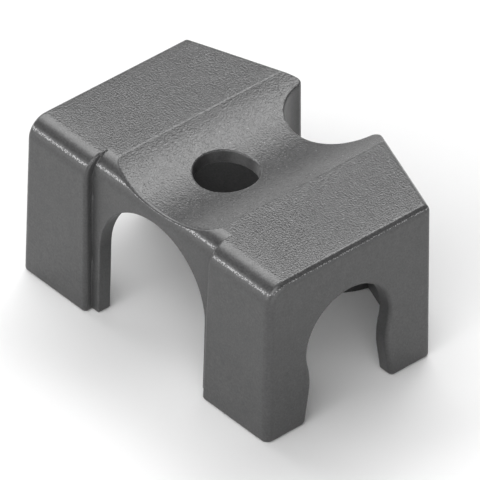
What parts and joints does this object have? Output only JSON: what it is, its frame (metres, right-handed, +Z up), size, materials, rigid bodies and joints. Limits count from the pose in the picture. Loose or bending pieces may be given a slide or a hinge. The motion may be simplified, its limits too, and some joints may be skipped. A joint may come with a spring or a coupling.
{
  "type": "drip line pipe clip",
  "caption": "Saddle clip for drip pipe: thin drafted shell with snap mouths in its ends, a dished top with a screw hole, an arched near side and a half-round notch behind.",
  "frame": {"origin": "on the plane of the feet, under the middle of the clip's outline", "axes": "+X along the pipe, +Y from the arched near side to the notched far side, +Z up from the feet"},
  "size_m": [0.022, 0.0154, 0.0112],
  "materials": {
    "moulded_plastic": "mid-grey moulded plastic, satin, with a fine spark-eroded grain on the top and smoother drafted sides"
  },
  "bodies": {
    "root": {"pipe_clip": "moulded_plastic"}
  },
  "joints": []
}
